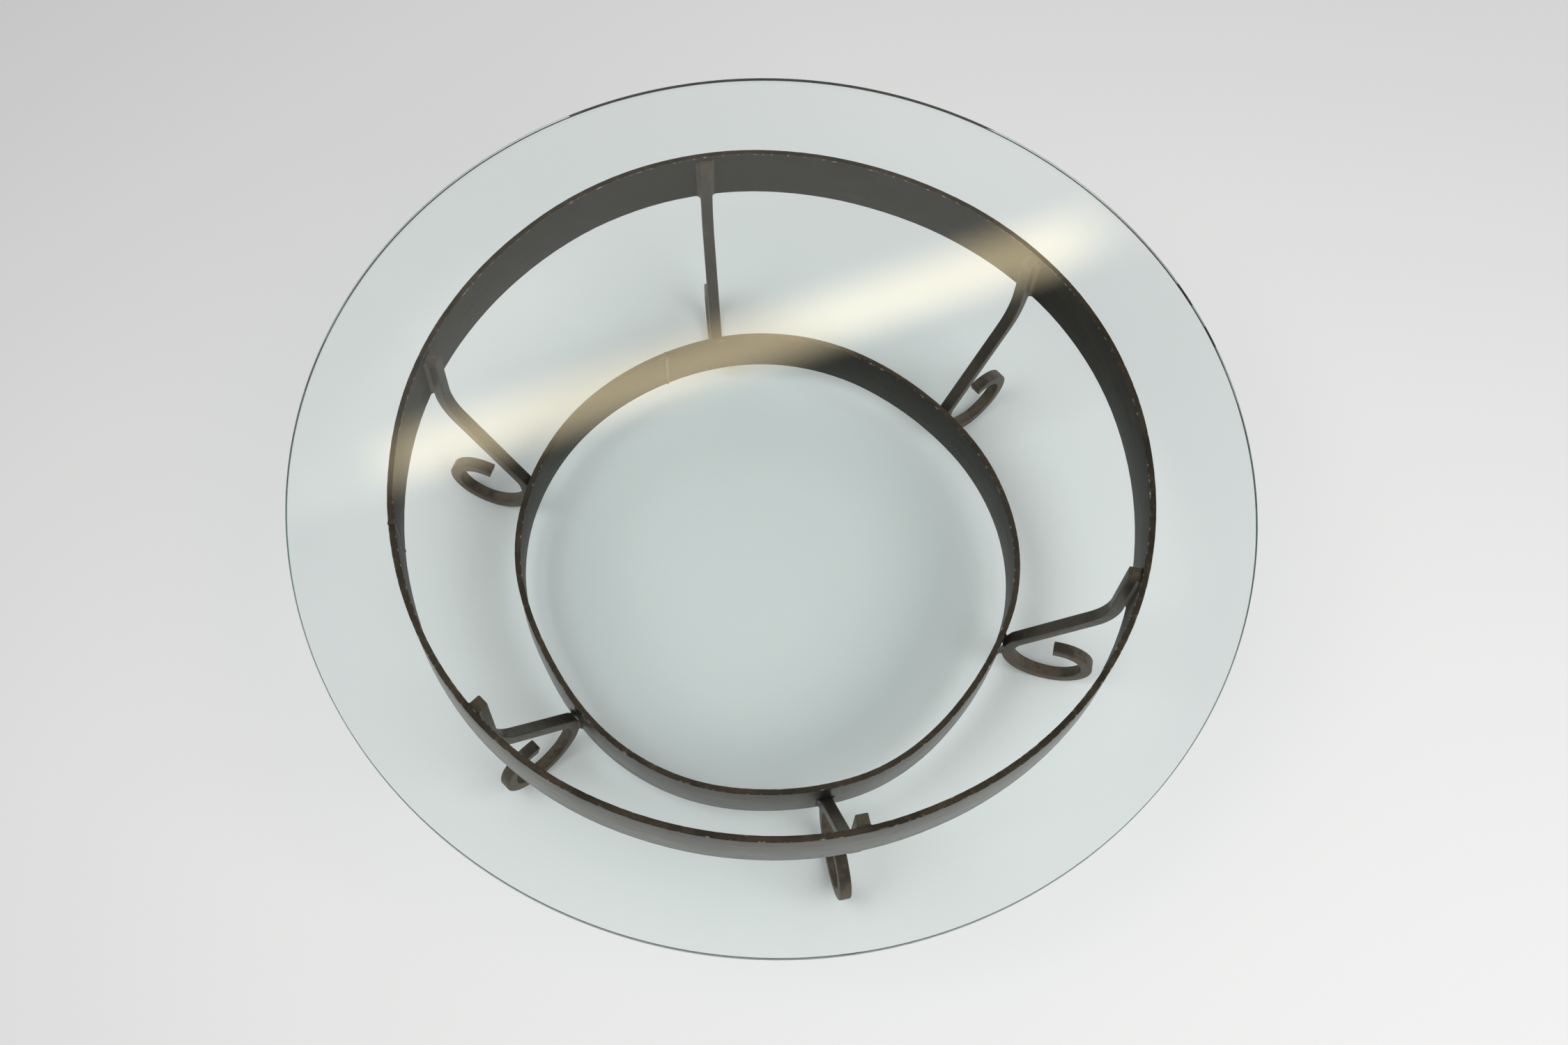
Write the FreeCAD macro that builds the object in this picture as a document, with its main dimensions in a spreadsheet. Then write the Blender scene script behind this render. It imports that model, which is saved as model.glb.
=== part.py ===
import FreeCAD, Part
import Sketcher
import math
import os

# A round glass coffee table. Two hoops of flat iron bar, bent by hand, are joined by six
# square-bar legs that end in scroll feet. A loose round glass lies on the upper hoop.
# The origin is on the floor under the middle of the glass, +Z is up and leg 1 points to +X.

# Driving sizes in millimetres
SIZES = {
    "overall_height": 410.0,
    "glass_radius": 600.0,
    "glass_thickness": 10.0,
    "glass_arris": 1.0,
    "frame_shift_x": -4.4,
    "frame_shift_y": 4.8,
    "band_thickness": 8.0,
    "band_arris": 0.7,
    "glass_overhang": 126.3,
    "upper_band_height": 87.0,
    "hoop_step": 132.2,
    "lower_band_height": 80.0,
    "lower_ring_rise": 55.0,
    "bar_side": 16.0,
    "bar_arris": 1.2,
    "leg_top_drop": 5.0,
    "seat_clearance": 0.2,
    "weld_clearance": 0.3,
    "shoulder_share": 0.293,
    "knee_radius": 25.0,
    "heel_radius": 75.0,
    "sole_radius": 47.0,
    "curl_radius": 46.0,
    "weld_side": 5.0,
    "weld_top_drop": 3.0,
    "weld_run_out": 4.5,
    "foot_weld_half_length": 15.0,
    "seam_gap": 4.0,
    "seam_crown": 0.7,
    "seam_drip": 1.6,
}

# Sizes that follow from others
DERIVED = {
    "upper_ring_radius": "=glass_radius - glass_overhang",
    "lower_ring_radius": "=upper_ring_radius - hoop_step",
    "upper_ring_top": "=overall_height - glass_thickness",
    "upper_ring_bottom": "=upper_ring_top - upper_band_height",
    "lower_ring_top": "=lower_ring_rise + lower_band_height",
    "shoulder_radius": "=overall_height * shoulder_share",
}

# The slopes that a leg's run may take, in degrees from the vertical
SLOPE_LIMITS = (1.0, 80.0)

# Seams of the hoops, as degrees round the table from leg 1
UPPER_SEAM_AZIMUTH = 208.0
LOWER_SEAM_AZIMUTH = 133.5

# Sixteen even stations round each hoop, from leg 1 on. Each share says how far the hand-bent
# bar stands from the middle there, against the hoop's mean radius.
UPPER_ROUND_SHARES = (
    1.005, 1.000, 1.003, 0.998, 0.993, 1.002, 1.005, 0.997,
    0.998, 0.998, 1.005, 1.008, 0.997, 0.993, 0.995, 1.004,
)
LOWER_ROUND_SHARES = (
    1.003, 1.014, 0.998, 0.983, 0.996, 1.004, 1.000, 1.008,
    1.011, 1.003, 0.978, 0.996, 1.007, 1.001, 1.007, 0.991,
)

# The six legs are bent one by one, so no two are quite alike. In degrees, each has its place
# round the table, its twist out of the radial plane and its lean to one side. Its upright part
# is a share of the table's height. Its slope follows from what it has to reach, and the knee
# takes back a share of that slope. The bends name the headings at which the heel, the sole and
# the curl end: a heading is the way the bar runs, seen in the leg's own plane, where -90 is
# straight down, 0 is outward, 90 is up and 180 is back to the middle. The round shares are what
# its shoulder, heel, sole and curl have of the common radii.
LEGS = (
    {"azimuth": 1.0, "twist": 6.0, "lean": 0.0, "upright_share": 0.246, "knee_share": 0.41,
     "bends": (-6.0, 114.5, 184.5), "round_shares": (0.94, 0.975, 0.95, 1.12)},
    {"azimuth": 60.2, "twist": 0.0, "lean": 0.0, "upright_share": 0.210, "knee_share": 0.68,
     "bends": (-15.0, 113.5, 192.0), "round_shares": (0.97, 1.15, 0.965, 1.01)},
    {"azimuth": 119.3, "twist": -5.0, "lean": -1.2, "upright_share": 0.230, "knee_share": 0.70,
     "bends": (-20.0, 107.0, 183.0), "round_shares": (1.03, 1.01, 1.02, 0.96)},
    {"azimuth": 178.8, "twist": -2.0, "lean": 0.0, "upright_share": 0.213, "knee_share": 0.52,
     "bends": (-22.0, 110.5, 192.0), "round_shares": (1.01, 1.09, 0.98, 1.08)},
    {"azimuth": 239.9, "twist": 2.6, "lean": 0.0, "upright_share": 0.248, "knee_share": 0.47,
     "bends": (-23.5, 108.0, 200.0), "round_shares": (1.14, 0.82, 1.155, 0.815)},
    {"azimuth": 300.7, "twist": -1.0, "lean": 0.0, "upright_share": 0.263, "knee_share": 0.58,
     "bends": (-22.0, 110.0, 186.0), "round_shares": (1.05, 0.925, 1.075, 0.955)},
)

HALVINGS = 50
FACE_STEPS = 20
OUTLINE_SPANS = 48
HOLLOW_SHARE = 0.29
FACE_MAKER = "Part::FaceMakerBullseye"
UP = FreeCAD.Vector(0, 0, 1)
OUT = FreeCAD.Vector(1, 0, 0)

doc = FreeCAD.newDocument("coffee_table")
sheet = doc.addObject("Spreadsheet::Sheet", "Sizes")
for row, (alias, value) in enumerate({**SIZES, **DERIVED}.items(), start=1):
    sheet.set("A%d" % row, alias)
    sheet.set("B%d" % row, str(value))
    sheet.setAlias("B%d" % row, alias)
doc.recompute()

sub_parts = []


def size(alias):
    """A driving size as it stands in the sheet."""
    return float(getattr(sheet, alias))


def new_body(label):
    body = doc.addObject("PartDesign::Body", label)
    body.Label = label
    sub_parts.append(body)
    return body


def origin_plane(body, role):
    return next(f for f in body.Origin.OriginFeatures if f.Role == role)


def new_sketch(body, name, role):
    sketch = body.newObject("Sketcher::SketchObject", name)
    sketch.AttachmentSupport = (origin_plane(body, role), "")
    sketch.MapMode = "FlatFace"
    return sketch


def heading_vector(heading):
    angle = math.radians(heading)
    return FreeCAD.Vector(math.cos(angle), math.sin(angle), 0)


def azimuth_of(point):
    return math.degrees(math.atan2(point.y, point.x)) % 360.0


# Hoops

def hoop_line(radius, round_shares):
    """The middle line of a hand-bent hoop: one smooth closed curve through its stations."""
    step = 360.0 / len(round_shares)
    stations = [heading_vector(i * step) * (radius * share) for i, share in enumerate(round_shares)]
    line = Part.BSplineCurve()
    line.interpolate(stations, PeriodicFlag=True)
    return line


def parameter_at(line, azimuth):
    """Where the hoop's line passes an azimuth, found by halving."""
    low, high = line.FirstParameter, line.LastParameter
    target = azimuth % 360.0
    for _ in range(HALVINGS):
        middle = (low + high) / 2
        if azimuth_of(line.value(middle)) < target:
            low = middle
        else:
            high = middle
    return (low + high) / 2


def band_point(line, azimuth, offset):
    """A point beside the hoop's line, offset to its outside (or to its inside if negative)."""
    parameter = parameter_at(line, azimuth)
    tangent = line.tangent(parameter)[0]
    return line.value(parameter) + tangent.cross(UP).normalize() * offset


def band_edge(line, offset, start, end):
    step = (end - start) / OUTLINE_SPANS
    points = [band_point(line, start + step * i, offset) for i in range(OUTLINE_SPANS + 1)]
    edge = Part.BSplineCurve()
    edge.interpolate(points)
    return edge


def seam_half_angle(line, seam):
    radius = band_point(line, seam, 0).Length
    return math.degrees(math.asin(size("seam_gap") / 2 / radius))


def make_hoop(label, line, seam, height_alias, rise_expression):
    """Flat bar on edge with broken arrises, bent round until its ends face each other at the seam."""
    half = seam_half_angle(line, seam)
    body = new_body(label)
    path = new_sketch(body, label + "_path", "XY_Plane")
    path.addGeometry(band_edge(line, 0, seam + half, seam + 360.0 - half), False)
    section = new_sketch(body, label + "_section", "XY_Plane")
    section.AttachmentOffset = section_place(line, seam + half)
    for side in bar_section(size("band_thickness") / 2, size(height_alias), size("band_arris")):
        section.addGeometry(side, False)
    doc.recompute()
    pipe = body.newObject("PartDesign::AdditivePipe", label + "_band")
    pipe.Profile = section
    pipe.Spine = (path, ["Edge1"])
    body.setExpression(".Placement.Base.x", "Sizes.frame_shift_x")
    body.setExpression(".Placement.Base.y", "Sizes.frame_shift_y")
    body.setExpression(".Placement.Base.z", rise_expression)
    return body


def section_place(line, azimuth):
    """The plane across the hoop's line: its x points outward, its y up."""
    parameter = parameter_at(line, azimuth)
    point = line.value(parameter)
    tangent = line.tangent(parameter)[0]
    outward = tangent.cross(UP).normalize()
    return FreeCAD.Placement(FreeCAD.Matrix(
        outward.x, UP.x, -tangent.x, point.x,
        outward.y, UP.y, -tangent.y, point.y,
        outward.z, UP.z, -tangent.z, point.z,
    ))


def bar_section(half_width, height, arris):
    """A rectangle that stands on its middle, with its four corners broken."""
    corners = (
        (half_width, arris), (half_width, height - arris),
        (half_width - arris, height), (arris - half_width, height),
        (-half_width, height - arris), (-half_width, arris),
        (arris - half_width, 0), (half_width - arris, 0),
    )
    points = [FreeCAD.Vector(x, y, 0) for x, y in corners]
    return [Part.LineSegment(start, end) for start, end in zip(points, points[1:] + points[:1])]


def make_seam(label, line, seam, height_alias, rise_expression):
    """The butt weld that closes a hoop: it fills the gap, stands proud and hangs a little low."""
    half = seam_half_angle(line, seam)
    half_thick = size("band_thickness") / 2
    azimuths = (seam - half, seam, seam + half)
    offsets = (half_thick, half_thick + size("seam_crown"), half_thick)
    body = new_body(label)
    sketch = new_sketch(body, label + "_outline", "XY_Plane")
    outer = [band_point(line, azimuth, offset) for azimuth, offset in zip(azimuths, offsets)]
    inner = [band_point(line, azimuth, -offset) for azimuth, offset in zip(azimuths[::-1], offsets)]
    sketch.addGeometry(Part.Arc(*outer), False)
    sketch.addGeometry(Part.LineSegment(outer[-1], inner[0]), False)
    sketch.addGeometry(Part.Arc(*inner), False)
    sketch.addGeometry(Part.LineSegment(inner[-1], outer[0]), False)
    pad = body.newObject("PartDesign::Pad", label + "_bead")
    pad.Profile = sketch
    pad.setExpression("Length", "Sizes.%s + Sizes.seam_drip" % height_alias)
    body.setExpression(".Placement.Base.x", "Sizes.frame_shift_x")
    body.setExpression(".Placement.Base.y", "Sizes.frame_shift_y")
    body.setExpression(".Placement.Base.z", rise_expression + " - Sizes.seam_drip")
    return body


# Legs

def arc_step(radius, start_heading, end_heading):
    """How far an arc that turns anticlockwise moves on, between two headings."""
    start = math.radians(start_heading)
    end = math.radians(end_heading)
    return FreeCAD.Vector(math.sin(end) - math.sin(start), math.cos(start) - math.cos(end), 0) * radius


class LegFrame:
    """The plane that a leg lies in: its x runs outward and its z up. It may lean a little to one
    side, about the bar's top end."""

    def __init__(self, leg, upper_line, lower_line):
        self.turn = leg["azimuth"] + leg["twist"]
        self.lean = leg["lean"]
        self.outward = heading_vector(self.turn)
        self.sideways = UP.cross(self.outward)
        self.top_rise = size("upper_ring_top") - size("leg_top_drop")
        self.lines = {"upper": upper_line, "lower": lower_line}
        half_thick = size("band_thickness") / 2
        self.offsets = {"upper": -half_thick, "lower": half_thick}
        weld_point = band_point(upper_line, leg["azimuth"], -half_thick)
        self.base = weld_point - self.outward * weld_point.Length
        half = size("bar_side") / 2
        flanks = (-half, 0, half)
        upper_rises = (size("upper_ring_bottom"), self.top_rise)
        lower_rises = (size("lower_ring_rise"), size("lower_ring_top"))
        upper_faces = [self.face("upper", aside, rise) for aside in flanks for rise in upper_rises]
        lower_faces = [self.face("lower", aside, rise) for aside in flanks for rise in lower_rises]
        self.upper_seat = min(upper_faces) - size("seat_clearance")
        self.lower_seat = max(lower_faces) + size("seat_clearance")

    def face(self, hoop, aside, rise):
        """How far out a line in the leg's plane, or beside it, meets a hoop's face at a height."""
        sway = (self.top_rise - rise) * math.sin(math.radians(self.lean))
        line, offset = self.lines[hoop], self.offsets[hoop]
        start = self.base + self.sideways * (aside + sway)
        distance = line.value(line.FirstParameter).Length
        for _ in range(FACE_STEPS):
            point = start + self.outward * distance
            distance += band_point(line, azimuth_of(point), offset).Length - point.Length
        return distance

    def placement(self):
        """Where the leg stands: turned, leaned about its top end, and set back on the floor."""
        shift = FreeCAD.Vector(size("frame_shift_x"), size("frame_shift_y"), 0)
        lean = math.radians(self.lean)
        lift = size("bar_side") / 2 * math.sin(abs(lean)) - self.top_rise * (1 - math.cos(lean))
        pivot = UP * self.top_rise
        leaned = FreeCAD.Placement(UP * lift, FreeCAD.Rotation(OUT, self.lean), pivot)
        standing = FreeCAD.Placement(self.base + shift, FreeCAD.Rotation(UP, self.turn))
        return standing.multiply(leaned)


class LegLine:
    """The bar's middle line: an upright, the shoulder, a sloping run, the knee, the heel against
    the lower hoop, the sole on the floor and the curl. The slope and the run's length are what
    brings the heel to the hoop and the sole to the floor."""

    def __init__(self, leg, frame):
        half = size("bar_side") / 2
        shoulder_share, heel_share, sole_share, curl_share = leg["round_shares"]
        self.knee_share = leg["knee_share"]
        self.heel_exit, self.sole_exit, curl_exit = leg["bends"]
        self.radii = {
            "shoulder": size("shoulder_radius") * shoulder_share,
            "knee": size("knee_radius"),
            "heel": size("heel_radius") * heel_share,
            "sole": size("sole_radius") * sole_share,
            "curl": size("curl_radius") * curl_share,
        }
        self.top = FreeCAD.Vector(frame.upper_seat - half, frame.top_rise, 0)
        self.travel = self.top.x - (frame.lower_seat + half)
        upright = size("overall_height") * leg["upright_share"]
        slope = self.find_slope(self.top.y - upright - half)
        run, _ = self.run_and_drop(slope)
        run_heading = -90.0 - slope
        knee_heading = run_heading + slope * self.knee_share
        self.pieces = []
        self.point = self.top
        self.add_line(upright, -90.0)
        self.add_arc(self.radii["shoulder"], -90.0, run_heading)
        self.add_line(run, run_heading)
        self.add_arc(self.radii["knee"], run_heading, knee_heading)
        self.heel_rise = self.point.y + arc_step(self.radii["heel"], knee_heading, -90.0).y
        self.add_arc(self.radii["heel"], knee_heading, self.heel_exit)
        self.add_arc(self.radii["sole"], self.heel_exit, self.sole_exit)
        self.add_arc(self.radii["curl"], self.sole_exit, curl_exit)
        self.slope, self.run = slope, run

    def run_and_drop(self, slope):
        """The length of the sloping run, and how far down it all goes from the upright's end."""
        angle = math.radians(slope)
        knee_heading = -90.0 - slope + slope * self.knee_share
        shoulder = FreeCAD.Vector(math.cos(angle) - 1, -math.sin(angle), 0) * self.radii["shoulder"]
        knee = arc_step(self.radii["knee"], -90.0 - slope, knee_heading)
        heel_in = arc_step(self.radii["heel"], knee_heading, -90.0)
        heel = arc_step(self.radii["heel"], knee_heading, self.heel_exit)
        sole_down = arc_step(self.radii["sole"], self.heel_exit, 0)
        run = (self.travel + shoulder.x + knee.x + heel_in.x) / math.sin(angle)
        return run, run * math.cos(angle) - (shoulder + knee + heel + sole_down).y

    def find_slope(self, drop):
        """The steeper the run, the further down it ends, so the slope is found by halving."""
        low, high = SLOPE_LIMITS
        for _ in range(HALVINGS):
            middle = (low + high) / 2
            if self.run_and_drop(middle)[1] > drop:
                low = middle
            else:
                high = middle
        return (low + high) / 2

    def add_line(self, length, heading):
        end = self.point + heading_vector(heading) * length
        self.pieces.append(Part.LineSegment(self.point, end))
        self.point = end

    def add_arc(self, radius, start_heading, end_heading):
        """An arc between two headings, turning whichever way leads from one to the other."""
        way = 90.0 if end_heading > start_heading else -90.0
        centre = self.point + heading_vector(start_heading + way) * radius
        middle = centre - heading_vector((start_heading + end_heading) / 2 + way) * radius
        end = centre - heading_vector(end_heading + way) * radius
        self.pieces.append(Part.Arc(self.point, middle, end))
        self.point = end


def make_leg(label, line, frame):
    """Square bar with broken edges, swept along the leg's line."""
    body = new_body(label)
    path = new_sketch(body, label + "_path", "XZ_Plane")
    for piece in line.pieces:
        path.addGeometry(piece, False)
    section = new_sketch(body, label + "_section", "XY_Plane")
    half = size("bar_side") / 2
    corner = FreeCAD.Vector(line.top.x, -half, line.top.y)
    section.AttachmentOffset = FreeCAD.Placement(corner, FreeCAD.Rotation())
    for side in bar_section(half, size("bar_side"), size("bar_arris")):
        section.addGeometry(side, False)
    doc.recompute()
    pipe = body.newObject("PartDesign::AdditivePipe", label + "_bar")
    pipe.Profile = section
    pipe.Spine = (path, ["Edge%d" % (i + 1) for i in range(len(line.pieces))])
    body.Placement = frame.placement()
    return body


# Welds between legs and hoops

def fillet_face(root, on_bar, on_hoop, low):
    """A hollow fillet's section in plan: from its root along the bar and along the hoop's face."""
    root, on_bar, on_hoop = (FreeCAD.Vector(x, y, low) for x, y in (root, on_bar, on_hoop))
    hollow = root + (on_bar - root + on_hoop - root) * HOLLOW_SHARE
    edges = [
        Part.LineSegment(on_hoop, root).toShape(),
        Part.LineSegment(root, on_bar).toShape(),
        Part.Arc(on_bar, hollow, on_hoop).toShape(),
    ]
    return Part.makeFace(Part.Wire(edges), FACE_MAKER)


def run_out_face(side, low, high, run_outs, x):
    """The weld seen along the leg's x: past its ends it thins out towards the bar."""
    near = side * size("bar_side") / 2
    far = near + side * 2 * size("weld_side")
    mid = near + side * size("weld_side")
    tips = (FreeCAD.Vector(x, near, low - run_outs[0]), FreeCAD.Vector(x, near, high + run_outs[1]))
    shoulders = (FreeCAD.Vector(x, mid, low), FreeCAD.Vector(x, mid, high))
    corners = (FreeCAD.Vector(x, far, low), FreeCAD.Vector(x, far, high))
    edges = [Part.LineSegment(tips[0], tips[1]), Part.LineSegment(corners[0], corners[1])]
    for tip, shoulder, corner, run_out, way in zip(tips, shoulders, corners, run_outs, (-1, 1)):
        edges.append(Part.LineSegment(shoulder, corner))
        if run_out:
            aside = near + (mid - near) * HOLLOW_SHARE
            hollow = FreeCAD.Vector(x, aside, shoulder.z + way * run_out * HOLLOW_SHARE)
            edges.append(Part.Arc(tip, hollow, shoulder))
        else:
            edges.append(Part.LineSegment(tip, shoulder))
    return Part.makeFace(Part.Wire(Part.__sortEdges__([edge.toShape() for edge in edges])), FACE_MAKER)


def make_weld(label, frame, hoop, inward, low, high, run_outs):
    """A pair of beads, one on each flank of the bar, in the corner between bar and hoop."""
    beads = []
    near = size("bar_side") / 2
    leg_size = size("weld_side")
    bottom = low - run_outs[0]
    top = high + run_outs[1]
    for side in (-1, 1):
        far = near + leg_size
        middle = (low + high) / 2
        clear = inward * size("weld_clearance")
        root = (frame.face(hoop, side * near, middle) + clear, side * near)
        on_hoop = (frame.face(hoop, side * far, middle) + clear, side * far)
        on_bar = (root[0] + inward * leg_size, side * near)
        bead = fillet_face(root, on_bar, on_hoop, bottom).extrude(UP * (top - bottom))
        if any(run_outs):
            start = min(root[0], on_hoop[0], on_bar[0]) - leg_size
            bead = bead.common(run_out_face(side, low, high, run_outs, start).extrude(OUT * (4 * leg_size)))
        bead.Placement = frame.placement()
        beads.append(bead)
    weld = doc.addObject("Part::Feature", label)
    weld.Label = label
    weld.Shape = Part.Compound([solid for bead in beads for solid in bead.Solids])
    sub_parts.append(weld)
    return weld


# Glass

def make_glass(label):
    """A loose disc with flat polished edge and ground arrises."""
    body = new_body(label)
    sketch = new_sketch(body, label + "_outline", "XY_Plane")
    sketch.addGeometry(Part.Circle(FreeCAD.Vector(0, 0, 0), UP, size("glass_radius")), False)
    sketch.addConstraint(Sketcher.Constraint("Coincident", 0, 3, -1, 1))
    radius = sketch.addConstraint(Sketcher.Constraint("Radius", 0, size("glass_radius")))
    sketch.renameConstraint(radius, "rim_radius")
    sketch.setExpression("Constraints.rim_radius", "Sizes.glass_radius")
    pad = body.newObject("PartDesign::Pad", label + "_pane")
    pad.Profile = sketch
    pad.setExpression("Length", "Sizes.glass_thickness")
    doc.recompute()
    rims = ["Edge%d" % n for n, edge in enumerate(pad.Shape.Edges, start=1) if len(edge.Vertexes) == 1]
    arris = body.newObject("PartDesign::Chamfer", label + "_arris")
    arris.Base = (pad, rims)
    arris.setExpression("Size", "Sizes.glass_arris")
    body.setExpression(".Placement.Base.z", "Sizes.overall_height - Sizes.glass_thickness")
    return body


upper_line = hoop_line(size("upper_ring_radius"), UPPER_ROUND_SHARES)
lower_line = hoop_line(size("lower_ring_radius"), LOWER_ROUND_SHARES)

upper = ("upper_band_height", "Sizes.upper_ring_bottom")
lower = ("lower_band_height", "Sizes.lower_ring_rise")
make_hoop("upper_ring", upper_line, UPPER_SEAM_AZIMUTH, *upper)
make_hoop("lower_ring", lower_line, LOWER_SEAM_AZIMUTH, *lower)
make_seam("upper_ring_seam", upper_line, UPPER_SEAM_AZIMUTH, *upper)
make_seam("lower_ring_seam", lower_line, LOWER_SEAM_AZIMUTH, *lower)
make_glass("glass_top")
doc.recompute()

for number, leg in enumerate(LEGS, start=1):
    frame = LegFrame(leg, upper_line, lower_line)
    line = LegLine(leg, frame)
    make_leg("leg_%d" % number, line, frame)
    weld_top = line.top.y - size("weld_top_drop")
    make_weld("leg_%d_upper_weld" % number, frame, "upper", -1,
              size("upper_ring_bottom"), weld_top, (size("weld_run_out"), 0))
    weld_low = line.heel_rise - size("foot_weld_half_length")
    weld_high = min(line.heel_rise + size("foot_weld_half_length"), size("lower_ring_top"))
    make_weld("leg_%d_lower_weld" % number, frame, "lower", 1, weld_low, weld_high, (0, 0))
    measured = (number, line.slope, line.run, line.heel_rise)
    print("leg %d: slope %.1f degrees, run %.1f, heel at z %.1f" % measured)

doc.recompute()

problems = []
for item in doc.Objects:
    if "Invalid" in item.State or "Error" in item.State:
        problems.append("%s is %s" % (item.Name, item.State))
for part in sub_parts:
    if part.Shape.isNull() or not part.Shape.isValid():
        problems.append("%s has no valid shape" % part.Label)
if problems:
    raise RuntimeError("; ".join(problems))

os.makedirs("parts", exist_ok=True)
for part in sub_parts:
    part.Shape.exportStep(os.path.join("parts", part.Label + ".step"))
    print("%s: %d solid(s), %.0f mm3" % (part.Label, len(part.Shape.Solids), part.Shape.Volume))
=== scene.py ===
import math

import bmesh
import bpy
from mathutils import Matrix, Vector, noise


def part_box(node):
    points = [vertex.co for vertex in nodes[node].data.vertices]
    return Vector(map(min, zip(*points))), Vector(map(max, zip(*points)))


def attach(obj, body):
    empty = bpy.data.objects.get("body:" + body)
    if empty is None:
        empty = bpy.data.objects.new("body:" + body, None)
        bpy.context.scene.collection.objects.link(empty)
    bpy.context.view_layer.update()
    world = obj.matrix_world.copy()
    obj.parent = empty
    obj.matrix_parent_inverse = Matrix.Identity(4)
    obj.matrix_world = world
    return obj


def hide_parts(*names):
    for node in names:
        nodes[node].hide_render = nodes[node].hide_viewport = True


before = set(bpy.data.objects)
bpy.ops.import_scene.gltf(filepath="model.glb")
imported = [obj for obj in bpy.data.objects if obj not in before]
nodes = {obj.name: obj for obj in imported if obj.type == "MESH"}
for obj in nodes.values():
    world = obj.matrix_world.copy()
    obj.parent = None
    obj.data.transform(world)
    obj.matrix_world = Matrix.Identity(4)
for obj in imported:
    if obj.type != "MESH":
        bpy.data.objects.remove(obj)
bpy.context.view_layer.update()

MM = 0.001
LEG_COUNT = 6


# Materials

# The sizes of the marks on the iron
OXIDE_CLOUDS = 50 * MM
RUST_BLOOMS = 18 * MM
MILL_MARKS = 7 * MM
HAMMER_DENTS = 22 * MM
SCALE_PITS = 1.5 * MM

# The levels of a pattern between which one look passes into the next
OXIDE_FADE = (0.38, 0.62)
RUBBED_FADE = (0.66, 0.84)
RUST_FADE = (0.6, 0.8)
WAX_FADE = (0.3, 0.7)
MOST_RUBBED = 0.75

# Heights in metres over which rust grows: down the scroll feet and up to the legs' welded tops
FOOT_RUST = (0.15, 0.07)
TOP_RUST = (0.365, 0.392)
RUST_GROWTH = 0.22
RUST_DULLING = 0.22

# Dents are this many times deeper than pits, and both are drawn a little deep to show
DENTS_TO_PITS = 4.0
RELIEF_DEPTH = 0.12 * MM

# The iron's roughness where it is dullest and smoothest: wiped with wax, thinly waxed, left dry
WIPED = (0.38, 0.26)
THINLY_WAXED = (0.5, 0.36)
DRY = (0.58, 0.46)

# Rolling draws a hoop's mill marks out along it: 12 times longer in x and y, half as high in z
ALONG_HOOP = (0.08, 0.08, 2.0)

SMOOTH = {"interpolation_type": "SMOOTHSTEP"}
COLOURS = {"data_type": "RGBA"}
# The numbers of a Mix node's inputs and its output when it mixes colours
SHARE, UNDER, OVER = 0, 6, 7
MIXED = 2


def linear(hex_colour):
    """An sRGB hex colour as linear RGBA."""
    parts = [int(hex_colour[i:i + 2], 16) / 255 for i in (1, 3, 5)]
    curve = [c / 12.92 if c <= 0.04045 else ((c + 0.055) / 1.055) ** 2.4 for c in parts]
    return (*curve, 1.0)


def add(tree, kind, settings=None, links=None):
    """Adds a node. The settings are its own, the links are its inputs by name or number: each is
    given a value, or the output that feeds it."""
    node = tree.nodes.new(kind)
    for name, value in (settings or {}).items():
        setattr(node, name, value)
    for key, value in (links or {}).items():
        if isinstance(value, bpy.types.NodeSocket):
            tree.links.new(value, node.inputs[key])
        else:
            node.inputs[key].default_value = value
    return node


def new_material(name):
    """An empty node material and its tree."""
    material = bpy.data.materials.new(name)
    material.use_nodes = True
    material.node_tree.nodes.clear()
    return material, material.node_tree


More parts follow.
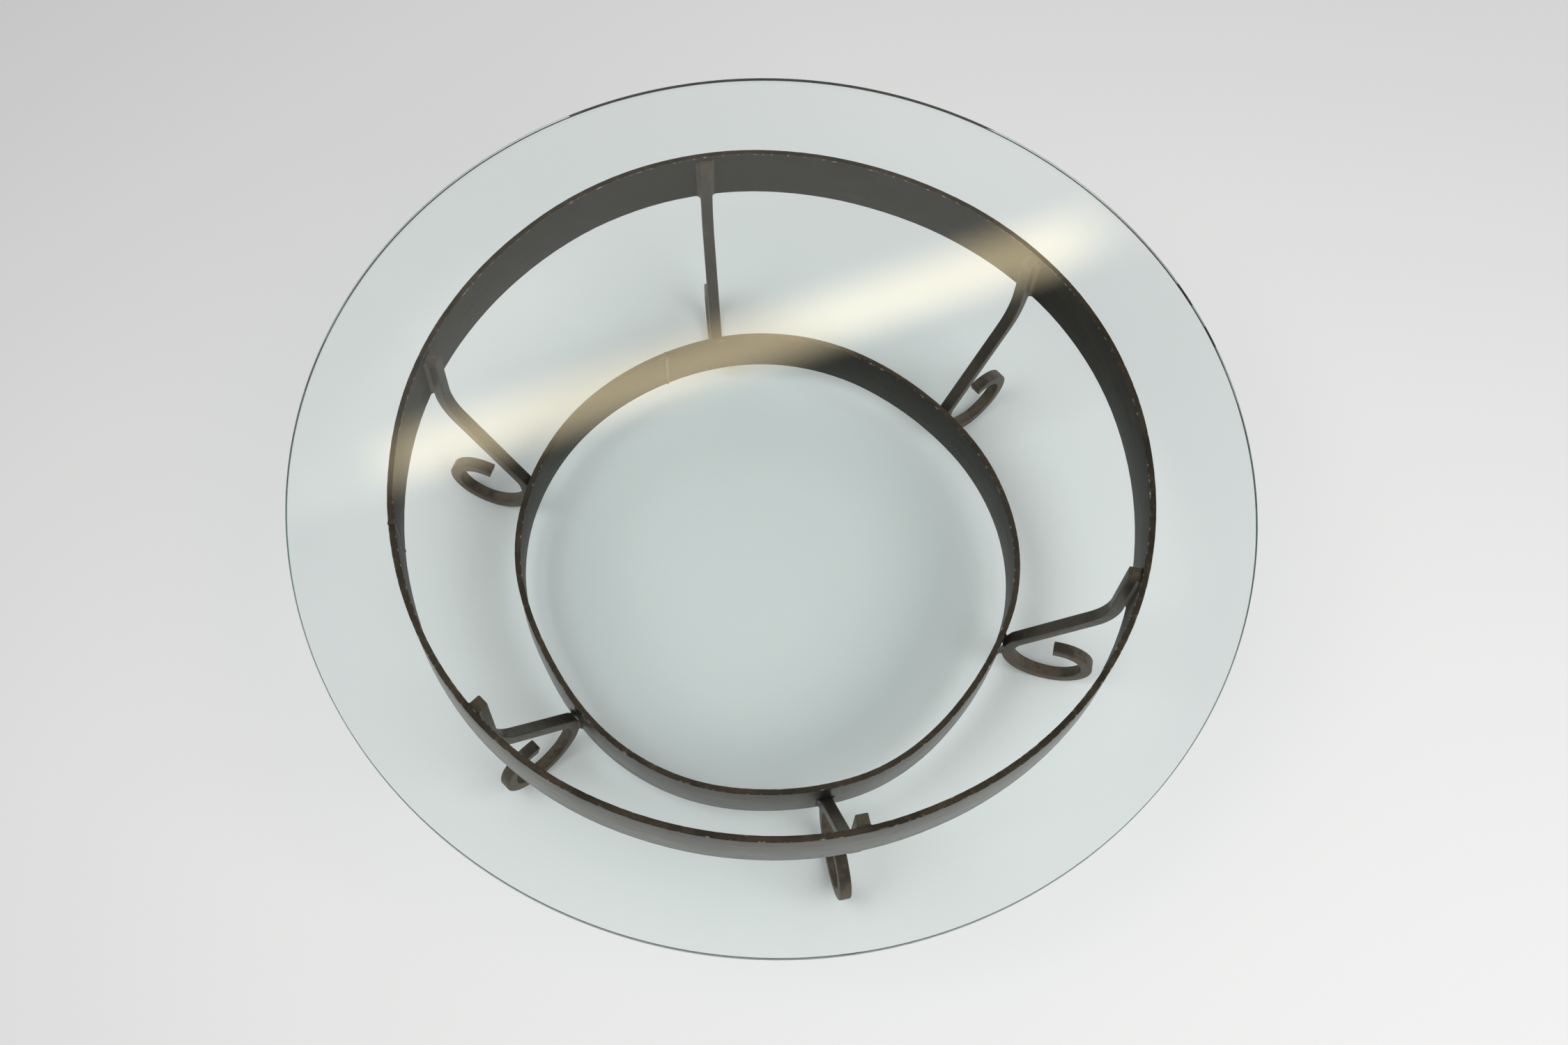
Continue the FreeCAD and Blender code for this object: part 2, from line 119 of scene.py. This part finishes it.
def blackened_iron(name, shades, rust, rust_share, rub_share, gloss, roughness,
                   grain_stretch=(1, 1, 1), rust_heights=()):
    """Hot-rolled mild steel bar, blackened and waxed by hand, with no lacquer. The oxide is dark
    and uneven, the wax gives a dull sheen that turns slate grey at a glancing eye, thin rust shows
    through brown, and rubbed spots are paler. Shades are the thick and the thin oxide and the
    rubbed metal, gloss is how much wax it holds and roughness its dullest and its smoothest."""
    thick_oxide, thin_oxide, rubbed_metal = [linear(shade) for shade in shades]
    dullest, smoothest = roughness
    material, tree = new_material(name)
    place = add(tree, "ShaderNodeTexCoord").outputs["Object"]
    along_grain = add(tree, "ShaderNodeMapping", links={
        "Vector": place, "Scale": grain_stretch}).outputs["Vector"]
    clouds = add(tree, "ShaderNodeTexNoise", links={
        "Vector": place, "Scale": 1 / OXIDE_CLOUDS,
        "Detail": 4.0, "Roughness": 0.6, "Distortion": 0.4})
    marks = add(tree, "ShaderNodeTexNoise", links={
        "Vector": along_grain, "Scale": 1 / MILL_MARKS, "Detail": 6.0, "Roughness": 0.68})
    # The blooms have ragged edges
    blooms = add(tree, "ShaderNodeTexNoise", links={
        "Vector": place, "Scale": 1 / RUST_BLOOMS, "Detail": 8.0, "Roughness": 0.72})
    oxide = add(tree, "ShaderNodeMapRange", links={
        "Value": clouds.outputs["Fac"], "From Min": OXIDE_FADE[0], "From Max": OXIDE_FADE[1]})
    oxide_colour = add(tree, "ShaderNodeMix", COLOURS, {
        SHARE: oxide.outputs["Result"], UNDER: thick_oxide, OVER: thin_oxide})
    rubbed = add(tree, "ShaderNodeMapRange", links={
        "Value": marks.outputs["Fac"], "From Min": RUBBED_FADE[0] - rub_share,
        "From Max": RUBBED_FADE[1] - rub_share, "To Max": MOST_RUBBED})
    rubbed_colour = add(tree, "ShaderNodeMix", COLOURS, {
        SHARE: rubbed.outputs["Result"], UNDER: oxide_colour.outputs[MIXED], OVER: rubbed_metal})
    rust_level = blooms.outputs["Fac"]
    height = add(tree, "ShaderNodeSeparateXYZ", links={"Vector": place}).outputs["Z"]
    for start, end in rust_heights:
        more = add(tree, "ShaderNodeMapRange", links={
            "Value": height, "From Min": start, "From Max": end, "To Max": RUST_GROWTH})
        rust_level = add(tree, "ShaderNodeMath", {"operation": "ADD"}, {
            0: rust_level, 1: more.outputs["Result"]}).outputs[0]
    rusted = add(tree, "ShaderNodeMapRange", SMOOTH, {
        "Value": rust_level, "From Min": RUST_FADE[0] - rust_share,
        "From Max": RUST_FADE[1] - rust_share})
    colour = add(tree, "ShaderNodeMix", COLOURS, {
        SHARE: rusted.outputs["Result"], UNDER: rubbed_colour.outputs[MIXED], OVER: linear(rust)})
    waxed = add(tree, "ShaderNodeMapRange", links={
        "Value": marks.outputs["Fac"], "From Min": WAX_FADE[0], "From Max": WAX_FADE[1],
        "To Min": dullest, "To Max": smoothest})
    dulled = add(tree, "ShaderNodeMath", {"operation": "MULTIPLY_ADD", "use_clamp": True}, {
        0: rusted.outputs["Result"], 1: RUST_DULLING, 2: waxed.outputs["Result"]})
    pits = add(tree, "ShaderNodeTexNoise", links={
        "Vector": place, "Scale": 1 / SCALE_PITS, "Detail": 5.0, "Roughness": 0.6})
    dents = add(tree, "ShaderNodeTexNoise", links={
        "Vector": place, "Scale": 1 / HAMMER_DENTS, "Detail": 2.0, "Roughness": 0.5})
    relief = add(tree, "ShaderNodeMath", {"operation": "MULTIPLY_ADD"}, {
        0: dents.outputs["Fac"], 1: DENTS_TO_PITS, 2: pits.outputs["Fac"]})
    bump = add(tree, "ShaderNodeBump", links={
        "Height": relief.outputs[0], "Strength": 0.6, "Distance": RELIEF_DEPTH})
    # Oxide hides most of the metal. The wax is a thin warm coat that follows the dents
    shader = add(tree, "ShaderNodeBsdfPrincipled", links={
        "Base Color": colour.outputs[MIXED], "Roughness": dulled.outputs[0], "Metallic": 0.1,
        "Specular Tint": linear("#ecdcc2"), "Specular IOR Level": gloss,
        "Coat Weight": gloss * 0.4, "Coat Roughness": 0.25, "Coat IOR": 1.45,
        "Normal": bump.outputs["Normal"], "Coat Normal": bump.outputs["Normal"]})
    add(tree, "ShaderNodeOutputMaterial", links={"Surface": shader.outputs["BSDF"]})
    return material


def float_glass(name, tint):
    """Clear float glass, cut round and with its rim ground and polished. It is nearly colourless
    through its thickness and green along it. Lamps shine through, so the floor below is lit."""
    material, tree = new_material(name)
    shader = add(tree, "ShaderNodeBsdfPrincipled", links={
        "Base Color": linear(tint), "Roughness": 0.0, "IOR": 1.52, "Transmission Weight": 1.0})
    let_through = add(tree, "ShaderNodeBsdfTransparent", links={"Color": linear("#f9fefd")})
    ray = add(tree, "ShaderNodeLightPath")
    from_lamps = add(tree, "ShaderNodeMath", {"operation": "MAXIMUM"}, {
        0: ray.outputs["Is Shadow Ray"], 1: ray.outputs["Is Diffuse Ray"]})
    mixed = add(tree, "ShaderNodeMixShader", links={
        0: from_lamps.outputs[0], 1: shader.outputs["BSDF"], 2: let_through.outputs["BSDF"]})
    add(tree, "ShaderNodeOutputMaterial", links={"Surface": mixed.outputs["Shader"]})
    return material


# The hoops' outer faces are rubbed with wax and shine. The inner ones are drier and duller, and
# their shades are darker than the outer ones' as painted shade for the shade inside the hoops
outer_iron = blackened_iron(
    "waxed_black_flat_bar", shades=("#151210", "#312b24", "#5a5146"), rust="#46392e",
    rust_share=0.02, rub_share=0.06, gloss=0.55, roughness=WIPED, grain_stretch=ALONG_HOOP)
# Painted shade: the inner faces' darker shades stand in for the shade inside the hoops
inner_iron_painted_shade = blackened_iron(
    "dry_black_flat_bar_painted_shade", shades=("#100f0c", "#1a1813", "#3a352c"), rust="#33291f",
    rust_share=0.0, rub_share=0.04, gloss=0.25, roughness=DRY, grain_stretch=ALONG_HOOP)
# The legs' black is thinner and browner, and rust grows at their feet and welded tops
leg_iron = blackened_iron(
    "waxed_black_square_bar", shades=("#2a2621", "#37312a", "#574f44"), rust="#54483d",
    rust_share=0.03, rub_share=0.04, gloss=0.4, roughness=THINLY_WAXED,
    rust_heights=(FOOT_RUST, TOP_RUST))
# On the rounded edges the black has worn off and the steel has browned
edge_iron = blackened_iron(
    "browned_bar_edge", shades=("#2f2720", "#40342a", "#6b5c4b"), rust="#54402f",
    rust_share=0.08, rub_share=0.08, gloss=0.4, roughness=THINLY_WAXED)
# The sawn ends took the black badly and rust the most
end_iron = blackened_iron(
    "rusted_bar_end", shades=("#382f27", "#493d32", "#6e5e4d"), rust="#584639",
    rust_share=0.1, rub_share=0.08, gloss=0.3, roughness=DRY)
# Along the hoops' arrises the black has come off in chips, down to pale scale
arris_iron = blackened_iron(
    "chipped_bar_arris", shades=("#231d18", "#30281f", "#cabba5"), rust="#4c3d30",
    rust_share=0.02, rub_share=0.13, gloss=0.3, roughness=DRY)
# The weld beads are brown from their heat, with a little wax
weld_iron = blackened_iron(
    "browned_weld_bead", shades=("#3a2f27", "#4a3c31", "#665848"), rust="#54402f",
    rust_share=0.1, rub_share=0.05, gloss=0.4, roughness=THINLY_WAXED)
pane_glass = float_glass("clear_float_glass", tint="#f8fefd")
rim_glass = float_glass("polished_glass_rim", tint="#4a665b")


# Pieces

# Where each finish stands in its piece's list of materials, after the main one
EDGE, END = 1, 2
INNER, ARRIS = 2, 3
RIM = 1

# How far up or down a face looks, from 0 to 1, to tell a bar's or a pane's faces apart
LEVEL, SLANTED, PANE = 0.9, 0.5, 0.99
# A bar with its four corners broken has eight at each sawn end
BAR_END_CORNERS = 8

SAME_POINT = 0.005 * MM
SAME_PLANE = 0.5
# Edges sharper than this many degrees are rounded
SHARP_BAR, SHARP_PANE = 30, 60
# Edges sharper than this many degrees stay creased in the shading
BAR_CREASE, BEAD_CREASE, PANE_CREASE = 25, 50, 20

# Unevenness, as depth and spacing
BAR_WEAR = 0.35 * MM
FORGED_DEPTH, FORGED_SPACING = 0.25 * MM, 30 * MM
HOOP_WEAR = 0.3 * MM
HOOP_WAVE_DEPTH, HOOP_WAVE_SPACING = 0.3 * MM, 70 * MM
BEAD_RIPPLE_DEPTH, BEAD_RIPPLE_SPACING = 0.25 * MM, 2.5 * MM
BEAD_GRAIN_DEPTH, BEAD_GRAIN_SPACING = 0.15 * MM, 2 * MM
# How far a bead's ripples wander from even, in radians
BEAD_WANDER, BEAD_WANDER_SPACING = 2, 6 * MM
BEAD_LONGEST_EDGE = 1.6 * MM
BEAD_CUTS = 5

RIM_SEGMENTS = 360
RIM_ROUNDING = 1.0 * MM


def object_from(made, name, *materials):
    """Turns a bmesh into an object of the scene, and frees it."""
    mesh = bpy.data.meshes.new(name)
    made.to_mesh(mesh)
    made.free()
    for material in materials:
        mesh.materials.append(material)
    result = bpy.data.objects.new(name, mesh)
    bpy.context.scene.collection.objects.link(result)
    return result


def finish_piece(made, name, body, node, slot, *materials):
    """Turns a bmesh into a piece that rides on its body and stands for its node."""
    piece = object_from(made, name, *materials)
    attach(piece, body)
    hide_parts(node)


def bends_over(edge, degrees):
    """Whether an edge between two faces is sharper than this."""
    return len(edge.link_faces) == 2 and edge.calc_face_angle(0.0) > math.radians(degrees)


def shade_by_angle(made, degrees):
    """Shades the skin smooth except across its creases."""
    for face in made.faces:
        face.smooth = True
    for edge in made.edges:
        edge.smooth = not bends_over(edge, degrees)


def merged_copy(node):
    """The node's own shape as one closed skin."""
    made = bmesh.new()
    made.from_mesh(nodes[node].data)
    bmesh.ops.remove_doubles(made, verts=made.verts, dist=SAME_POINT)
    bmesh.ops.dissolve_limit(
        made, angle_limit=math.radians(SAME_PLANE), verts=made.verts, edges=made.edges)
    bmesh.ops.recalc_face_normals(made, faces=made.faces)
    return made


def soften(made, width, degrees, material):
    """Rounds the sharp edges a little and gives the rounding its own material."""
    sharp = [edge for edge in made.edges if bends_over(edge, degrees)]
    rounded = bmesh.ops.bevel(
        made, geom=sharp, offset=width, offset_type="OFFSET", segments=2, profile=0.5,
        affect="EDGES", clamp_overlap=True, material=-1)
    for face in rounded["faces"]:
        face.material_index = material


def ripple(point, spacing, seed):
    """A smooth hand-made unevenness from -1 to 1, the same at every run."""
    return noise.noise(Vector(point) / spacing + Vector((seed, seed, seed)))


def make_leg(number):
    """Square bar, forged uneven, with rubbed corners and rusted sawn ends."""
    name = "leg_%d" % number
    made = merged_copy(name)
    for face in made.faces:
        if len(face.verts) == BAR_END_CORNERS:
            face.material_index = END
    soften(made, BAR_WEAR, SHARP_BAR, EDGE)
    made.normal_update()
    for vert in made.verts:
        sunk = FORGED_DEPTH * abs(ripple(vert.co, FORGED_SPACING, number))
        vert.co -= vert.normal * sunk
    shade_by_angle(made, BAR_CREASE)
    finish_piece(made, name + "_bar", "frame", name, "blackened_iron",
                 leg_iron, edge_iron, end_iron)


def make_hoop(node, seed):
    """Flat bar on edge, never quite true: waxed outside, duller inside and darkened there as
    painted shade, and browned on its edges.
    """
    made = merged_copy(node)
    for face in made.faces:
        if abs(face.normal.z) > LEVEL:
            face.material_index = EDGE
        elif abs(face.normal.z) > SLANTED:
            face.material_index = ARRIS
        # The inner faces take the darker material, painted shade for inside the hoop
        elif face.normal.dot(face.calc_center_median()) < 0:
            face.material_index = INNER
    soften(made, HOOP_WEAR, SHARP_BAR, ARRIS)
    for vert in made.verts:
        outward = Vector((vert.co.x, vert.co.y, 0)).normalized()
        vert.co += outward * (HOOP_WAVE_DEPTH * ripple(vert.co, HOOP_WAVE_SPACING, seed))
    shade_by_angle(made, BAR_CREASE)
    finish_piece(made, node + "_band", "frame", node, "blackened_iron",
                 outer_iron, edge_iron, inner_iron_painted_shade, arris_iron)


def make_weld(node, seed):
    """A bead laid by hand, with its ripples one above the other."""
    made = merged_copy(node)
    bmesh.ops.triangulate(made, faces=made.faces)
    for _ in range(BEAD_CUTS):
        long = [edge for edge in made.edges if edge.calc_length() > BEAD_LONGEST_EDGE]
        if not long:
            break
        bmesh.ops.subdivide_edges(made, edges=long, cuts=1, use_grid_fill=False)
        bmesh.ops.triangulate(made, faces=[face for face in made.faces if len(face.verts) > 3])
    made.normal_update()
    for vert in made.verts:
        wander = BEAD_WANDER * ripple(vert.co, BEAD_WANDER_SPACING, seed)
        wave = 0.5 + 0.5 * math.sin(vert.co.z / BEAD_RIPPLE_SPACING * math.tau + wander)
        grain = abs(ripple(vert.co, BEAD_GRAIN_SPACING, seed))
        vert.co -= vert.normal * (BEAD_RIPPLE_DEPTH * wave + BEAD_GRAIN_DEPTH * grain)
    shade_by_angle(made, BEAD_CREASE)
    finish_piece(made, node + "_bead", "frame", node, "weld_metal", weld_iron)


def make_glass_top():
    """A round pane with its rim's arrises rounded."""
    low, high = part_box("glass_top")
    radius = min(high.x, high.y, -low.x, -low.y)
    made = bmesh.new()
    bmesh.ops.create_circle(made, cap_ends=True, segments=RIM_SEGMENTS, radius=radius,
                            matrix=Matrix.Translation((0, 0, low.z)))
    drawn = bmesh.ops.extrude_face_region(made, geom=list(made.faces))
    lifted = [part for part in drawn["geom"] if isinstance(part, bmesh.types.BMVert)]
    bmesh.ops.translate(made, verts=lifted, vec=(0, 0, high.z - low.z))
    bmesh.ops.recalc_face_normals(made, faces=made.faces)
    soften(made, RIM_ROUNDING, SHARP_PANE, RIM)
    made.normal_update()
    for face in made.faces:
        if abs(face.normal.z) < PANE:
            face.material_index = RIM
    shade_by_angle(made, PANE_CREASE)
    finish_piece(made, "glass_top_pane", "glass", "glass_top", "clear_glass",
                 pane_glass, rim_glass)


for number in range(1, LEG_COUNT + 1):
    make_leg(number)
    make_weld("leg_%d_upper_weld" % number, seed=number)
    make_weld("leg_%d_lower_weld" % number, seed=number + 10)
make_hoop("upper_ring", seed=3)
make_hoop("lower_ring", seed=7)
make_weld("upper_ring_seam", seed=21)
make_weld("lower_ring_seam", seed=22)
make_glass_top()


# Floor, light and camera

BACKDROP = "#e6e5e5"
FLOOR_SIZE = 60
# Distances from the table in metres between which the floor passes into the backdrop
SWEEP = (1.5, 3.3)

# The room's strength as matt surfaces see it
ROOM_LIGHT = 0.53
# Its strength as gloss and glass see it: the walls low down and high up, the heights between
# which they darken, and what the ceiling adds
WALLS_LOW, WALLS_HIGH = 0.78, 0.06
WALLS_FADE = (0.1, 0.75)
CEILING = 0.62

# The glass mirrors a long soft lamp as a warm stripe. These are the directions across and along
# the lamp, where its sides and its ends fade out, how far it is moved along, and its strength
STRIPE_ACROSS = (-0.5621, 0.6801, -0.4707)
STRIPE_ALONG = (0.8148, 0.5530, -0.1740)
STRIPE_NEAR_SIDE = (-0.03, -0.004)
STRIPE_FAR_SIDE = (0.024, -0.004)
STRIPE_ENDS = (0.228, 0.178)
STRIPE_SHIFT = 0.005
STRIPE_LIGHT = 4.3

# Solved from the glass rim and the hoops, in degrees and metres: from well above the table, a
# little turned and a little rolled
CAMERA_TURN, CAMERA_ELEVATION, CAMERA_ROLL = 12.75, 65.70, 5.43
CAMERA_PLACE = (0.2273, -0.9336, 2.3792)
CAMERA_LENS = 40.54
FILM_WIDTH = 36.0


def make_floor():
    """A matt pale floor. Far from the table it passes into the backdrop, as a paper sweep does."""
    material, tree = new_material("pale_floor")
    matt = add(tree, "ShaderNodeBsdfDiffuse", links={"Color": linear("#e0dfdf")})
    place = add(tree, "ShaderNodeTexCoord").outputs["Object"]
    distance = add(tree, "ShaderNodeVectorMath", {"operation": "LENGTH"}, {0: place})
    far_off = add(tree, "ShaderNodeMapRange", SMOOTH, {
        "Value": distance.outputs["Value"], "From Min": SWEEP[0], "From Max": SWEEP[1]})
    sweep = add(tree, "ShaderNodeEmission", links={"Color": linear(BACKDROP), "Strength": 1.0})
    mixed = add(tree, "ShaderNodeMixShader", links={
        0: far_off.outputs["Result"], 1: matt.outputs["BSDF"], 2: sweep.outputs["Emission"]})
    add(tree, "ShaderNodeOutputMaterial", links={"Surface": mixed.outputs["Shader"]})
    made = bmesh.new()
    bmesh.ops.create_grid(made, x_segments=1, y_segments=1, size=FLOOR_SIZE)
    floor = object_from(made, "floor", material)


def make_world():
    """An even pale room for matt surfaces. Gloss and glass see it paler low down and dark overhead,
    with one warm strip lamp and a paler ceiling beyond it. The camera sees only the backdrop."""
    world = bpy.data.worlds.new("soft_room")
    world.use_nodes = True
    tree = world.node_tree
    tree.nodes.clear()
    way = add(tree, "ShaderNodeTexCoord").outputs["Generated"]
    height = add(tree, "ShaderNodeSeparateXYZ", links={"Vector": way}).outputs["Z"]
    walls = add(tree, "ShaderNodeMapRange", SMOOTH, {
        "Value": height, "From Min": WALLS_FADE[0], "From Max": WALLS_FADE[1],
        "To Min": WALLS_LOW, "To Max": WALLS_HIGH})
    across = add(tree, "ShaderNodeVectorMath", {"operation": "DOT_PRODUCT"}, {
        0: way, 1: STRIPE_ACROSS}).outputs["Value"]
    near_side = add(tree, "ShaderNodeMapRange", SMOOTH, {
        "Value": across, "From Min": STRIPE_NEAR_SIDE[0], "From Max": STRIPE_NEAR_SIDE[1]})
    far_side = add(tree, "ShaderNodeMapRange", SMOOTH, {
        "Value": across, "From Min": STRIPE_FAR_SIDE[0], "From Max": STRIPE_FAR_SIDE[1]})
    between_sides = add(tree, "ShaderNodeMath", {"operation": "MULTIPLY"}, {
        0: near_side.outputs["Result"], 1: far_side.outputs["Result"]})
    along = add(tree, "ShaderNodeVectorMath", {"operation": "DOT_PRODUCT"}, {
        0: way, 1: STRIPE_ALONG}).outputs["Value"]
    from_middle = add(tree, "ShaderNodeMath", {"operation": "ADD"}, {0: along, 1: STRIPE_SHIFT})
    off_middle = add(tree, "ShaderNodeMath", {"operation": "ABSOLUTE"}, {
        0: from_middle.outputs[0]})
    between_ends = add(tree, "ShaderNodeMapRange", SMOOTH, {
        "Value": off_middle.outputs[0], "From Min": STRIPE_ENDS[0], "From Max": STRIPE_ENDS[1]})
    stripe = add(tree, "ShaderNodeMath", {"operation": "MULTIPLY"}, {
        0: between_sides.outputs[0], 1: between_ends.outputs["Result"]})
    with_ceiling = add(tree, "ShaderNodeMath", {"operation": "MULTIPLY_ADD"}, {
        0: near_side.outputs["Result"], 1: CEILING, 2: walls.outputs["Result"]})
    plain = add(tree, "ShaderNodeBackground", links={
        "Color": linear("#fffaf4"), "Strength": with_ceiling.outputs[0]})
    warm = add(tree, "ShaderNodeBackground", links={
        "Color": linear("#ffe9bd"), "Strength": STRIPE_LIGHT})
    mirrored = add(tree, "ShaderNodeMixShader", links={
        0: stripe.outputs[0], 1: plain.outputs["Background"], 2: warm.outputs["Background"]})
    room = add(tree, "ShaderNodeBackground", links={
        "Color": linear("#ffffff"), "Strength": ROOM_LIGHT})
    backdrop = add(tree, "ShaderNodeBackground", links={
        "Color": linear(BACKDROP), "Strength": 1.0})
    ray = add(tree, "ShaderNodeLightPath")
    off_gloss = add(tree, "ShaderNodeMath", {"operation": "MAXIMUM"}, {
        0: ray.outputs["Is Glossy Ray"], 1: ray.outputs["Is Transmission Ray"]})
    lit = add(tree, "ShaderNodeMixShader", links={
        0: off_gloss.outputs[0], 1: room.outputs["Background"], 2: mirrored.outputs["Shader"]})
    seen = add(tree, "ShaderNodeMixShader", links={
        0: ray.outputs["Is Camera Ray"], 1: lit.outputs["Shader"],
        2: backdrop.outputs["Background"]})
    add(tree, "ShaderNodeOutputWorld", links={"Surface": seen.outputs["Shader"]})
    bpy.context.scene.world = world


def make_softbox(name, place, aim, side, watts, spread):
    """A square soft lamp whose light is felt but whose face the glass doesn't mirror. The spread
    is how far its grid lets the light fan out, in degrees."""
    light = bpy.data.lights.new(name, "AREA")
    light.shape = "SQUARE"
    light.size = side
    light.energy = watts
    light.spread = math.radians(spread)
    lamp = bpy.data.objects.new(name, light)
    lamp.location = place
    lamp.rotation_mode = "QUATERNION"
    lamp.rotation_quaternion = (Vector(aim) - Vector(place)).to_track_quat("-Z", "Y")
    lamp.visible_glossy = False
    lamp.visible_transmission = False
    lamp.visible_camera = False
    bpy.context.scene.collection.objects.link(lamp)


def make_camera():
    """The photograph's own view."""
    turn = math.radians(CAMERA_TURN)
    elevation = math.radians(CAMERA_ELEVATION)
    roll = math.radians(CAMERA_ROLL)
    right = Vector((math.cos(turn), math.sin(turn), 0))
    level = Vector((-math.sin(turn), math.cos(turn), 0))
    forward = level * math.cos(elevation) - Vector((0, 0, 1)) * math.sin(elevation)
    up = right.cross(forward)
    image_right = right * math.cos(roll) + up * math.sin(roll)
    image_up = up * math.cos(roll) - right * math.sin(roll)
    data = bpy.data.cameras.new("camera")
    data.sensor_fit = "HORIZONTAL"
    data.sensor_width = FILM_WIDTH
    data.lens = CAMERA_LENS
    camera = bpy.data.objects.new("camera", data)
    facing = Matrix((image_right, image_up, -forward)).transposed().to_4x4()
    camera.matrix_world = Matrix.Translation(CAMERA_PLACE) @ facing
    bpy.context.scene.collection.objects.link(camera)
    bpy.context.scene.camera = camera


make_floor()
make_world()
make_softbox("left_softbox", place=(-1.1, -0.9, 2.75), aim=(0.1, 0.05, 0.1),
             side=1.5, watts=7.6, spread=84)
make_softbox("right_softbox", place=(2.5, -0.95, 2.75), aim=(0.7, -0.4, 0.1),
             side=2.8, watts=76, spread=180)
make_camera()
bpy.context.scene.view_settings.view_transform = "Standard"
